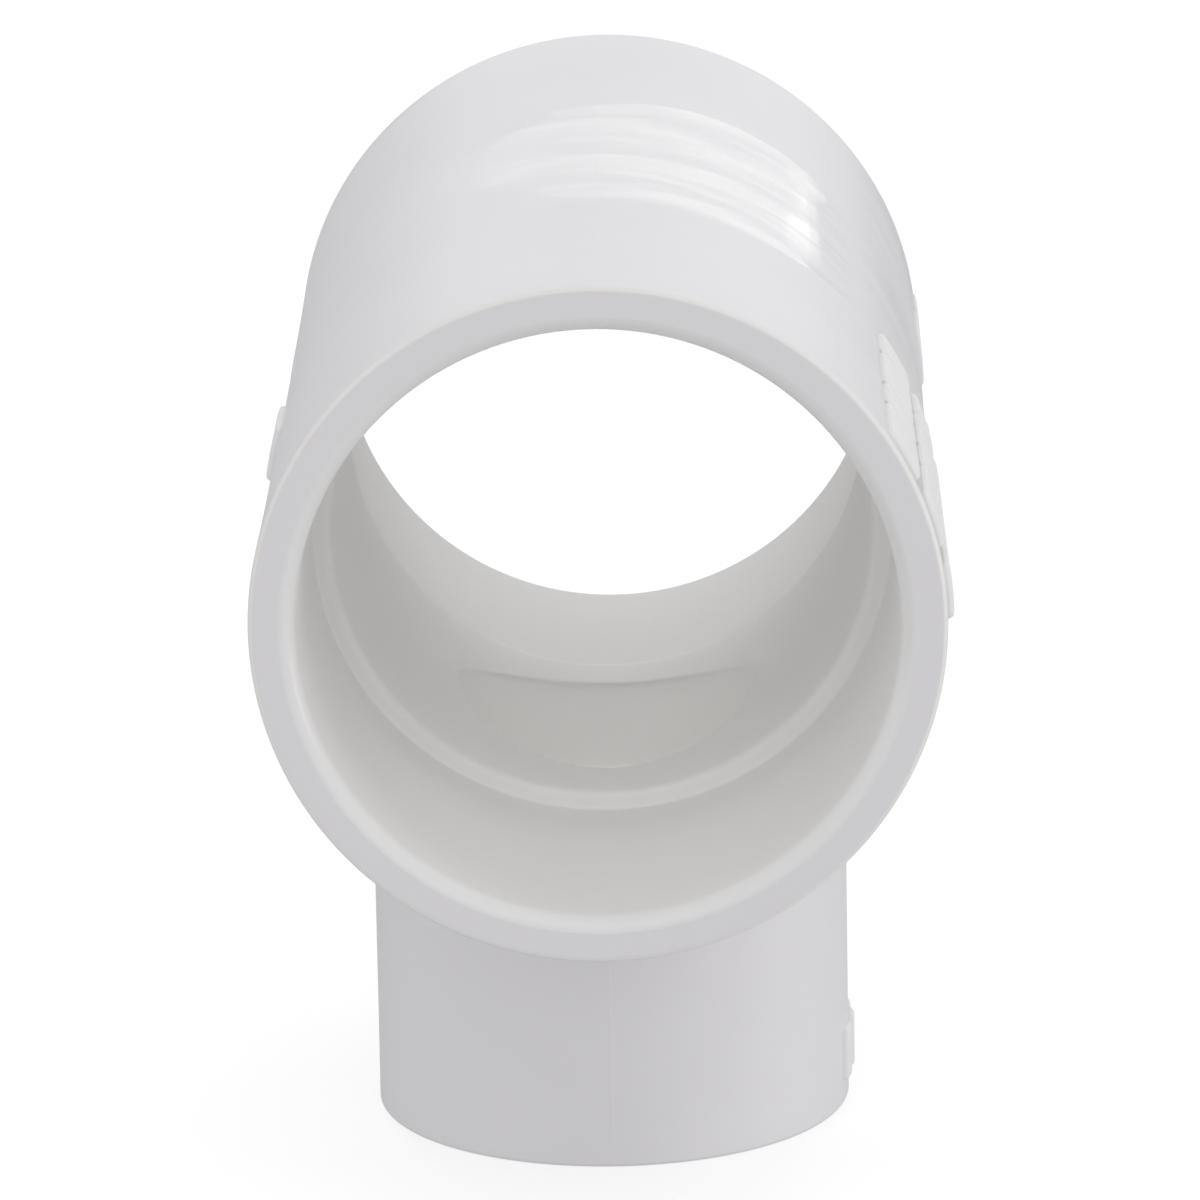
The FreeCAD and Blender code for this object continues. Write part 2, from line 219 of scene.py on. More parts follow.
class TeeStage(bpy.types.PropertyGroup):
    """Floor, light and camera."""

    floor: colour("Floor", "Colour of the floor", (0.68, 0.68, 0.68))
    floor_glow: share("Floor glow", "Light that comes up through the floor, a light table", 0.54)
    bounce: colour("Bounce", "How much light the floor throws back at the tee", (0.16, 0.16, 0.16))
    bounce_glow: share("Bounce glow", "Light that comes up through it on to the tee", 0.36)
    bounce_spot: share("Bounce spot", "How much brighter that is inside the branch", 2.15, 5.0)
    sky: share("Sky", "Strength of the light from all round", 0.56, 5.0)
    lens: share("Lens", "Focal length on a 36 mm wide sensor, in millimetres", 254.94, 500.0)
    distance: length("Distance", "Camera to the point that it looks at", 912.7 * MM)
    elevation: angle("Elevation", "Camera above the horizon", 15.172)
    azimuth: angle("Azimuth", "Camera to the right of the run's axis", 0.839)
    roll: angle("Roll", "Camera turned about its own axis", -1.022)
    look_across: length("Look across", "Point looked at, across the run", -0.65 * MM)
    look_down: length("Look down", "Point looked at, below the run's axis", 14.21 * MM)


def smooth(share_of_way):
    """0 before the way, 1 after it, and an S-curve between."""
    t = min(1.0, max(0.0, share_of_way))
    return t * t * (3 - 2 * t)


def fade_in(from_rim, width):
    """0 beside a rim, and 1 from a width further on."""
    return smooth((from_rim - RIM_CLEAR) / width)


def on_run(turn, along, radius):
    """A point from the angle round the run, the place along it and the distance from its axis."""
    return Vector((radius * math.sin(turn), along, RUN_HEIGHT - radius * math.cos(turn)))


def on_branch(turn, height, radius):
    """A point from the angle round the branch, the height over its rim and the distance from its axis."""
    return Vector((radius * math.cos(turn), radius * math.sin(turn), height))


def arc(centre, radius, start, end, parts):
    """Points (along, out) on an arc, from one angle to another, in degrees."""
    turns = [math.radians(start + (end - start) * part / parts) for part in range(parts + 1)]
    return [(centre[0] + radius * math.cos(turn), centre[1] + radius * math.sin(turn)) for turn in turns]


def flattened(points, flat):
    """Points on a quarter round, drawn towards the straight line between its ends."""
    parts = len(points) - 1
    first, last = points[0], points[-1]
    moved = []
    for part, point in enumerate(points):
        line = [start + (end - start) * part / parts for start, end in zip(first, last)]
        moved.append(tuple(value + (place - value) * flat for value, place in zip(point, line)))
    return moved


def stations(low, high, step, fixed=(), nearest=NEAREST):
    """Places from low to high, with the fixed ones among them and even steps between."""
    marks = sorted({low, high, *(place for place in fixed if low < place < high)})
    places = [low]
    for mark in marks[1:]:
        gap = mark - places[-1]
        if gap < nearest and mark != high:
            continue
        parts = math.ceil(gap / step - TINY)
        places += [places[-1] + gap * part / parts for part in range(1, parts)] + [mark]
    return places


# How a raised bar's edge climbs: distance inside its border, and share of its height there.
BAR_EDGE = ((-0.1 * MM, 0.0), (0.0, 0.0), (0.1 * MM, 0.7), (0.28 * MM, 0.93), (0.6 * MM, 1.0))


def climb(inside):
    """Share of a bar's height at a distance inside its border."""
    for (near, low), (far, high) in zip(BAR_EDGE, BAR_EDGE[1:]):
        if inside <= far:
            return low + (high - low) * max(0.0, inside - near) / (far - near)
    return 1.0


def edge_stations(span, scale=1.0):
    """Stations of both edges of a bar's span, in metres, or in radians with a radius as the scale."""
    low, high = span
    offsets = [inside / scale for inside, _ in BAR_EDGE]
    return [low + offset for offset in offsets] + [high - offset for offset in offsets]


class Bar:
    """A raised bar on a round wall, between two angles and two places along the wall."""

    def __init__(self, middle, arc, low, size, height, radius):
        self.turns = (middle - arc / 2, middle + arc / 2)
        self.places = (low, low + size)
        self.height, self.radius = height, radius

    def rise(self, turn, place):
        """How far the bar stands out at a point of the wall."""
        across = min(turn - self.turns[0], self.turns[1] - turn) * self.radius
        along = min(place - self.places[0], self.places[1] - place)
        return self.height * climb(across) * climb(along)

    def turn_stations(self):
        """Angles at which the wall needs points, so that the bar's edges have their form."""
        return edge_stations(self.turns, self.radius)

    def place_stations(self):
        """Places along the wall at which it needs points."""
        return edge_stations(self.places)


def bar_row(marks, turn, start, number, height, radius):
    """A row of bars along the run from a start place, long and short by turns."""
    bars = []
    for index in range(number):
        size = marks.short if index % 2 else marks.long
        bars.append(Bar(turn, marks.arc, start, size, height, radius))
        start += size + marks.gap
    return bars


def bars_on_run(marks, sizes):
    """All the bars of the run: rows on the right in front, low bars behind them, and one on the left."""
    right, radius = math.pi / 2 + marks.right_rise, sizes.run_rim
    bars = bar_row(marks, right, marks.rear_start, marks.rear_bars, marks.low_height, radius)
    start = marks.middle_start - sizes.half_run
    bars.append(Bar(right, marks.arc, start, marks.middle_length, marks.low_height, radius))
    start = marks.right_start - sizes.half_run
    for row in range(marks.right_rows):
        turn = right + row * marks.pitch
        bars += bar_row(marks, turn, start, marks.right_bars, marks.height, radius)
    left = -math.pi / 2 - marks.left_rise
    start = marks.left_start - sizes.half_run
    bars.append(Bar(left, marks.arc, start, marks.left_length, marks.height, radius))
    return bars


def bars_on_branch(marks, sizes):
    """The upright bars on the branch's right side."""
    turns = [(index - (marks.branch_bars - 1) / 2) * marks.branch_pitch
             for index in range(marks.branch_bars)]
    return [Bar(turn, marks.branch_arc, marks.branch_start, marks.branch_length, marks.height,
                sizes.branch_rim) for turn in turns]


class Skin:
    """Points and faces of a moulding, collected ring by ring."""

    def __init__(self):
        self.points = []
        self.faces = []

    def add(self, points):
        """Keep points and return their numbers."""
        first = len(self.points)
        self.points.extend(points)
        return list(range(first, len(self.points)))

    def join(self, ring, following):
        """Quads between two closed rings of as many points."""
        ends = ring[1:] + ring[:1]
        following_ends = following[1:] + following[:1]
        self.faces.extend(zip(ring, ends, following_ends, following))

    def chain(self, ring, rings):
        """Quads from a ring through the following ones, given as points; the last ring is returned."""
        for points in rings:
            following = self.add(points)
            self.join(ring, following)
            ring = following
        return ring

    def zip_up(self, ring, turns, following, following_turns):
        """Triangles between two closed rings of unlike counts, whose angles grow from about the same one."""
        near, far = 0, 0
        turns = [*turns, turns[0] + FULL_TURN]
        following_turns = [*following_turns, following_turns[0] + FULL_TURN]
        while near < len(ring) or far < len(following):
            here, there = ring[near % len(ring)], following[far % len(following)]
            step_near = far == len(following) or (
                near < len(ring) and turns[near + 1] <= following_turns[far + 1])
            if step_near:
                near += 1
                self.faces.append((here, ring[near % len(ring)], there))
            else:
                far += 1
                self.faces.append((here, following[far % len(following)], there))


class Wrap:
    """A tube of quads round the run, with a window round its bottom left open for the branch."""

    def __init__(self, skin, rows, columns, place, half_length, half_turn):
        self.rows, self.columns = rows, columns
        self.half_length, self.half_turn = half_length, half_turn
        self.numbers = [
            [None if self.hides(row, turn) else skin.add([place(row, turn)])[0] for turn in columns]
            for row in rows]
        for near, far in zip(self.numbers, self.numbers[1:]):
            quads = zip(near, near[1:] + near[:1], far[1:] + far[:1], far)
            skin.faces.extend(quad for quad in quads if None not in quad)

    def hides(self, row, turn):
        """Whether a point falls inside the window."""
        return abs(row[0]) < self.half_length - TINY and abs(turn) < self.half_turn - TINY

    def window(self):
        """Numbers of the points round the window, and their angles and places along the run."""
        inner_rows = [i for i, row in enumerate(self.rows) if abs(row[0]) < self.half_length + TINY]
        inner_columns = [j for j, turn in enumerate(self.columns) if abs(turn) < self.half_turn + TINY]
        low, high = inner_rows[0], inner_rows[-1]
        left, right = inner_columns[0], inner_columns[-1]
        edge = [(low, j) for j in range(left, right)]
        edge += [(i, right) for i in range(low, high)]
        edge += [(high, j) for j in range(right, left, -1)]
        edge += [(i, left) for i in range(high, low, -1)]
        numbers = [self.numbers[i][j] for i, j in edge]
        return numbers, [(self.columns[j], self.rows[i][0]) for i, j in edge]


# Rounds in which a ball's depth and the drafted wall that it touches settle on each other.
SETTLING_ROUNDS = 4


class Crossing:
    """The round between the run's wall and the branch's, as a ball rolls along both of them."""

    def __init__(self, turns, run_radius, branch_radius, ball):
        self.turns, self.ball = turns, ball
        self.centres, self.on_run, self.on_branch = [], [], []
        for turn in turns:
            wall = branch_radius(0.0)
            for _ in range(SETTLING_ROUNDS):
                out = wall + ball
                across, along = out * math.cos(turn), out * math.sin(turn)
                run_wall = run_radius(along)
                drop = math.sqrt((run_wall + ball) ** 2 - across ** 2)
                wall = branch_radius(drop)
            scale = run_wall / (run_wall + ball)
            self.centres.append(Vector((across, along, RUN_HEIGHT - drop)))
            self.on_run.append((math.atan2(across, drop), along, scale))
            self.on_branch.append(on_branch(turn, RUN_HEIGHT - drop, wall))

    def run_contact(self, index):
        """Where the ball touches the run."""
        centre, (_, along, scale) = self.centres[index], self.on_run[index]
        return Vector((centre.x * scale, along, RUN_HEIGHT + (centre.z - RUN_HEIGHT) * scale))

    def rings(self, parts, lifts):
        """Rings of points over the round, from past the run's contact to the branch's."""
        for part in range(1, parts + 1):
            yield [self.point(index, part / parts, lift) for index, lift in enumerate(lifts)]

    def point(self, index, way, lift):
        """A point on the round, a share of the way from the run's contact to the branch's."""
        centre = self.centres[index]
        start = (self.run_contact(index) - centre).normalized()
        end = (self.on_branch[index] - centre).normalized()
        return centre + start.slerp(end, way) * (self.ball - lift)


# Steps of the mesh: round the run, along it, and along its waterway over the branch.
COLUMN_STEP = math.radians(2.4)
ROW_STEP = 2.6 * MM
FINE_ROW_STEP = 1.5 * MM

# Half the angle and half the length of the two windows that the run's rings leave for the branch.
WINDOW_TURN = math.radians(75)
WINDOW_HALF = 32.5 * MM
INNER_WINDOW_TURN = math.radians(60)
INNER_WINDOW_HALF = 21 * MM

# The branch's first level ring is this far below the run, and its waterway's this far above the round
# of the stop. The parts are the steps from the crossing to those rings.
BELOW_RUN = 6 * MM
ABOVE_STOP = 3 * MM
BRANCH_TOP_PARTS = 5
BRANCH_CORE_PARTS = 4

# Rings that close a window, parts of the rounds, and how far a supporting ring is from its edge.
WINDOW_RINGS = 9
JUNCTION_PARTS = 8
CROSSING_PARTS = 4
ROUND_PARTS = 6
LEAD_IN_PARTS = 8
SEAT_ROUND_PARTS = 4
SUPPORT = 0.1 * MM


def shell(sizes, along):
    """Outside radius of the run: a barrel, a soft step up to each hub, and the hub's slow flare."""
    away = abs(along)
    step = smooth((away - sizes.step_start) / sizes.step_width)
    flare = max(0.0, away - sizes.step_start) / (sizes.half_run - sizes.step_start)
    rest = sizes.run_waist - sizes.hub_step
    return sizes.run_rim - sizes.run_waist + sizes.hub_step * step + rest * flare ** 2


def bore(sizes, along):
    """Radius of the run's waterway between the stops, drafted from both ends."""
    return RUN_SEAT - sizes.run_ledge - (RUN_STOP - abs(along)) * math.tan(sizes.core_draft)


def branch_bore(sizes, drop):
    """Radius of the branch's waterway at a depth under the run's axis."""
    stop_drop = RUN_HEIGHT - BRANCH_STOP
    return BRANCH_SEAT - sizes.branch_ledge - (stop_drop - drop) * math.tan(sizes.core_draft)


def both_ends(front_half):
    """Rows from the front face to the middle, then the same ones mirrored."""
    return front_half + [(-along, radius) for along, radius in reversed(front_half) if along < -TINY]


def outside_rows(sizes, bars, branch_bars):
    """Places and radii of the rings round the run's outside, from rim to rim."""
    corner = sizes.half_run - sizes.rim_round
    start = shell(sizes, corner)
    rim = arc((-corner, start - sizes.rim_round), sizes.rim_round, 180, 90, ROUND_PARTS)
    fixed = [place for bar in bars for place in bar.place_stations()]
    side = shell(sizes, 0) * WINDOW_TURN
    fixed += [side * math.tan(turn) for bar in branch_bars for turn in bar.turn_stations()]
    fixed += [sign * place for sign in (-1, 1) for place in (
        WINDOW_HALF, sizes.step_start, sizes.step_start + sizes.step_width)]
    rows = [(place, shell(sizes, place)) for place in stations(-corner, corner, ROW_STEP, fixed)]
    return rim[:-1] + rows + [(-along, radius) for along, radius in reversed(rim[:-1])]


def outside_columns(sizes, bars):
    """Angles of the points round the run's outside."""
    half_width = sizes.parting_width / 2 / sizes.run_rim
    support = SUPPORT / sizes.run_rim
    ridge = [0, half_width / 2, half_width, half_width + support]
    fixed = [turn for bar in bars for turn in bar.turn_stations()]
    fixed += [-WINDOW_TURN, WINDOW_TURN]
    fixed += [offset * sign for offset in ridge for sign in (-1, 1)]
    fixed += [math.pi - offset for offset in ridge] + [offset - math.pi for offset in ridge]
    return stations(-math.pi, math.pi, COLUMN_STEP, fixed, NEAREST / sizes.run_rim)[:-1]


def parting(sizes, turn):
    """Height of the parting line at an angle round the run: it follows the top and the bottom."""
    from_line = min(abs(turn), math.pi - abs(turn)) * sizes.run_rim
    return sizes.parting_height * max(0.0, 1 - (2 * from_line / sizes.parting_width) ** 2)


def mould_outside(skin, sizes, marks):
    """The run's outside, the junction and the branch's outside; returns the three rims' last rings."""
    bars, branch_bars = bars_on_run(marks, sizes), bars_on_branch(marks, sizes)

    def place(row, turn):
        along, radius = row
        lift = parting(sizes, turn) * fade_in(sizes.half_run - abs(along), RUN_FADE)
        lift = min(lift, sizes.run_rim - radius)
        return on_run(turn, along, radius + max(lift, *(bar.rise(turn, along) for bar in bars)))

    columns = outside_columns(sizes, bars)
    rows = outside_rows(sizes, bars, branch_bars)
    wrap = Wrap(skin, rows, columns, place, WINDOW_HALF, WINDOW_TURN)
    ring, edge = wrap.window()
    side = shell(sizes, 0)
    crossing = Crossing(
        [math.atan2(along, side * turn) for turn, along in edge],
        lambda along: shell(sizes, along), lambda drop: sizes.branch_rim, sizes.junction_round)
    lifts = [parting(sizes, turn) for turn, _ in edge]
    ring = skin.chain(ring, window_rings(crossing, edge, lambda along: shell(sizes, along), lifts))
    ring = skin.chain(ring, crossing.rings(JUNCTION_PARTS, lifts))
    ring = skin.chain(ring, branch_outside_rings(sizes, crossing, branch_bars, lifts))
    return wrap, columns, ring, crossing.turns


def window_rings(crossing, edge, radius_at, lifts):
    """Rings that close the window from its edge to the crossing's contact on the run."""
    for part in range(1, WINDOW_RINGS + 1):
        way = part / WINDOW_RINGS
        points = []
        for (turn, along), (end_turn, end_along, _), lift in zip(edge, crossing.on_run, lifts):
            here = turn + (end_turn - turn) * way
            place = along + (end_along - along) * way
            points.append(on_run(here, place, radius_at(place) + lift))
        yield points


def branch_outside_rings(sizes, crossing, bars, lifts):
    """Rings down the branch's outside to its rim."""
    level = RUN_HEIGHT - sizes.run_rim - BELOW_RUN
    starts = [point.z for point in crossing.on_branch]
    for part in range(1, BRANCH_TOP_PARTS):
        way = part / BRANCH_TOP_PARTS
        yield [
            on_branch(turn, start + (level - start) * way, sizes.branch_rim + lift)
            for turn, start, lift in zip(crossing.turns, starts, lifts)]
    fixed = [place for bar in bars for place in bar.place_stations()]
    for height in reversed(stations(sizes.rim_round, level, ROW_STEP, fixed)):
        fade = fade_in(height, BRANCH_FADE)
        yield [
            on_branch(turn, height, sizes.branch_rim + max(
                lift * fade, *(bar.rise(turn, height) for bar in bars)))
            for turn, lift in zip(crossing.turns, lifts)]
    corner = (sizes.rim_round, sizes.branch_rim - sizes.rim_round)
    for height, radius in arc(corner, sizes.rim_round, 90, 180, ROUND_PARTS)[1:]:
        yield [on_branch(turn, max(0.0, height), radius) for turn in crossing.turns]
    radius = sizes.branch_rim - sizes.rim_round - SUPPORT
    yield [on_branch(turn, 0.0, radius) for turn in crossing.turns]


def socket(face, seat_end, stop, seat, flare, ledge, sizes):
    """Depth and radius along a socket's wall from its face to past its stop. Depths grow inwards."""
    mouth = seat + flare
    lead, seat_round, ledge_round = sizes.lead_in_round, sizes.seat_round, sizes.ledge_round
    core = seat - ledge
    wall = [(face, mouth + lead + SUPPORT)]
    wall += [(face + lead * (1 - across), mouth + lead * (1 - up)) for across, up in flattened(
        arc((0.0, 0.0), 1.0, 0, 90, LEAD_IN_PARTS), sizes.lead_in_flat)]
    wall += [(place, mouth - flare * (place - face) / (seat_end - face))
             for place in stations(face + 2 * lead, seat_end, 2 * ROW_STEP)]
    wall += [(place, seat) for place in stations(seat_end, stop - seat_round, 2 * ROW_STEP)[1:-1]]
    wall += arc((stop - seat_round, seat - seat_round), seat_round, 90, 0, SEAT_ROUND_PARTS)
    wall += [(stop, core + ledge_round + (ledge - ledge_round - seat_round) / 2)]
    wall += arc((stop + ledge_round, core + ledge_round), ledge_round, 180, 270, ROUND_PARTS)
    return wall


def mould_inside(skin, sizes):
    """The run's waterway, the crossing and the branch's waterway; returns their rims' first rings."""
    front = [(depth - sizes.half_run, radius) for depth, radius in socket(
        0.0, sizes.half_run - RUN_SEAT_END, sizes.half_run - RUN_STOP, RUN_SEAT,
        sizes.run_flare, sizes.run_ledge, sizes)]
    core_start = front[-1][0]
    places = stations(core_start, -INNER_WINDOW_HALF, ROW_STEP)[1:-1]
    places += stations(-INNER_WINDOW_HALF, 0.0, FINE_ROW_STEP)
    front += [(along, bore(sizes, along)) for along in places]
    columns = stations(-math.pi, math.pi, COLUMN_STEP, [-INNER_WINDOW_TURN, INNER_WINDOW_TURN])[:-1]
    wrap = Wrap(
        skin, both_ends(front), columns, lambda row, turn: on_run(turn, *row),
        INNER_WINDOW_HALF, INNER_WINDOW_TURN)
    ring, edge = wrap.window()
    side = bore(sizes, 0)
    crossing = Crossing(
        [math.atan2(along, side * turn) for turn, along in edge],
        lambda along: bore(sizes, along), lambda drop: branch_bore(sizes, drop), sizes.crossing_round)
    flat = [0.0] * len(edge)
    ring = skin.chain(ring, window_rings(crossing, edge, lambda along: bore(sizes, along), flat))
    ring = skin.chain(ring, crossing.rings(CROSSING_PARTS, flat))
    ring = skin.chain(ring, branch_inside_rings(sizes, crossing))
    return wrap, columns, ring, crossing.turns


def branch_inside_rings(sizes, crossing):
    """Rings down the branch's waterway and socket to its rim."""
    level = BRANCH_STOP + sizes.ledge_round + ABOVE_STOP
    starts = [point.z for point in crossing.on_branch]
    for part in range(1, BRANCH_CORE_PARTS + 1):
        way = part / BRANCH_CORE_PARTS
        heights = [start + (level - start) * way for start in starts]
        yield [
            on_branch(turn, height, branch_bore(sizes, RUN_HEIGHT - height))
            for turn, height in zip(crossing.turns, heights)]
    wall = socket(
        0.0, BRANCH_SEAT_END, BRANCH_STOP, BRANCH_SEAT, sizes.branch_flare, sizes.branch_ledge, sizes)
    for height, radius in reversed(wall):
        yield [on_branch(turn, height, radius) for turn in crossing.turns]


def close_rims(skin, outside, inside, sizes):
    """The three flat rims between the outside's rings and the inside's."""
    wrap, columns, branch_ring, branch_turns = outside
    inner_wrap, inner_columns, inner_branch_ring, inner_branch_turns = inside
    for end, sign in ((0, -1), (-1, 1)):
        radius = shell(sizes, sizes.half_run - sizes.rim_round) - sizes.rim_round - SUPPORT
        ring = skin.chain(
            wrap.numbers[end], [[on_run(turn, sign * sizes.half_run, radius) for turn in columns]])
        skin.zip_up(ring, columns, inner_wrap.numbers[end], inner_columns)
    outer = in_order(branch_ring, branch_turns)
    inner = in_order(inner_branch_ring, inner_branch_turns)
    skin.zip_up(*outer, *inner)


def in_order(ring, turns):
    """A closed ring and its angles, turned so that the angles grow from the lowest."""
    pairs = sorted(zip(turns, ring))
    return [number for _, number in pairs], [turn for turn, _ in pairs]


def ripple(mesh, sizes):
    """Press faint waves into the mesh, which fade out towards the three rims."""
    moved = []
    for vertex in mesh.vertices:
        point = vertex.co
        to_rim = min(sizes.half_run - abs(point.y), point.z)
        fade = fade_in(to_rim, RIPPLE_FADE)
        wave = (noise.noise(point / sizes.ripple_size) + 1) / 2
        moved.append(point - vertex.normal * (sizes.ripple * wave * fade))
    mesh.vertices.foreach_set("co", [value for point in moved for value in point])
    mesh.update()


def mesh_of(skin, name):
    """A smooth closed mesh of the skin's points and faces, with its faces turned outwards."""
    mesh = bpy.data.meshes.new(name)
    mesh.from_pydata(skin.points, [], skin.faces)
    shape = bmesh.new()
    shape.from_mesh(mesh)
    bmesh.ops.remove_doubles(shape, verts=shape.verts, dist=TINY)
    bmesh.ops.recalc_face_normals(shape, faces=shape.faces)
    open_edges = [edge for edge in shape.edges if not edge.is_manifold]
    shape.to_mesh(mesh)
    shape.free()
    if open_edges:
        raise RuntimeError(f"{name}: {len(open_edges)} edges are open or shared by too many faces")
    mesh.shade_smooth()
    return mesh


class Socket:
    """A node's output, so that shader maths reads as an expression."""

    def __init__(self, nodes, output):
        self.nodes, self.output = nodes, output

    def maths(self, operation, first, second):
        return self.nodes.add("ShaderNodeMath", {"operation": operation}, {0: first, 1: second})

    def __add__(self, other):
        return self.maths("ADD", self, other)

    def __radd__(self, other):
        return self.maths("ADD", other, self)

    def __sub__(self, other):
        return self.maths("SUBTRACT", self, other)

    def __rsub__(self, other):
        return self.maths("SUBTRACT", other, self)

    def __mul__(self, other):
        return self.maths("MULTIPLY", self, other)

    def __rmul__(self, other):
        return self.maths("MULTIPLY", other, self)

    def __truediv__(self, other):
        return self.maths("DIVIDE", self, other)

    def __rtruediv__(self, other):
        return self.maths("DIVIDE", other, self)


class Nodes:
    """The node tree of one material."""

    def __init__(self, material):
        material.use_nodes = True
        self.tree = material.node_tree
        self.tree.nodes.clear()

    def add(self, kind, settings=None, inputs=None, output=0):
        """Add a node, set it up, then feed its sockets; returns one of its outputs."""
        node = self.tree.nodes.new(kind)
        for name, value in (settings or {}).items():
            setattr(node, name, value)
        for name, value in (inputs or {}).items():
            if isinstance(value, Socket):
                self.tree.links.new(value.output, node.inputs[name])
            else:
                node.inputs[name].default_value = value
        return Socket(self, node.outputs[output]) if node.outputs else None

    def parts(self, vector):
        """The X, Y and Z of a vector."""
        split = self.add("ShaderNodeSeparateXYZ", None, {0: vector})
        return [Socket(self, output) for output in split.output.node.outputs]

    def mix_colours(self, factor, first, second):
        """One colour turning into another as the factor grows."""
        inputs = {0: factor, 6: opaque(first), 7: opaque(second)}
        return self.add("ShaderNodeMix", {"data_type": "RGBA"}, inputs, output=2)

    def function(self, operation, *values):
        """A Math node for what has no operator, such as a root."""
        return self.add("ShaderNodeMath", {"operation": operation}, dict(enumerate(values)))

    def largest(self, first, *others):
        """The largest of some values."""
        for other in others:
            first = self.function("MAXIMUM", first, other)
        return first

    def step(self, value, start, end):
        """0 where a value is before the start, 1 beyond the end, and a soft step between."""
        inputs = {"Value": value, "From Min": start, "From Max": end}
        return self.add("ShaderNodeMapRange", {"interpolation_type": "SMOOTHSTEP"}, inputs)

    def band(self, value, low, high, blur):
        """1 where a value is from low to high, with soft ends outside them."""
        return self.step(value, low - blur, low) * self.step(value, high + blur, high)

    def noise(self, place, scale, detail=3.0, roughness=0.6):
        """Soft noise from 0 to 1, by its features per metre."""
        inputs = {"Vector": place, "Scale": scale, "Detail": detail, "Roughness": roughness}
        return self.add("ShaderNodeTexNoise", None, inputs, output="Fac")


def opaque(value):
    """A colour with its alpha, or a socket as it is."""
    return value if isinstance(value, Socket) else (*value, 1.0)


# Features per metre of the noise in the materials.
FLOW_MARKS = 38.0
SCUFFS = 260.0
ORANGE_PEEL = 900.0
RAGGED_END = 130.0
WIDE_STREAKS = 110.0
FINE_STREAKS = 420.0
FLOOR_GRAIN = 60.0

# Values of that noise between which the flow marks and the streaks grow from 0 to 1.
FLOW_RISE = (0.35, 0.7)
WIDE_RISE = (0.38, 0.6)
FINE_RISE = (0.35, 0.7)

# How much of the streaks is fine, how much they add to the patch's gloss and take from the painted shade on
# the right side, how much of that painted shade lies in the flow marks, and how much of the pipe stops'
# painted highlight a mouth's easing gets.
FINE_SHARE = 0.4
STREAK_GLOSS = 0.7
STREAKS_IN_SHADE = 0.3
FLOW_IN_SHADE = 0.35
MOUTH_HIGHLIGHT = 0.4

# How much the flow marks and the scuffs change the skin's roughness, how deep the scuffs are beside the
# orange peel, and how much of the bars' painted highlight they wear off.
FLOW_ROUGHNESS = 0.05
SCUFF_ROUGHNESS = 0.06
SCUFF_DEPTH = 0.5
SCUFFED_HIGHLIGHT = 0.4


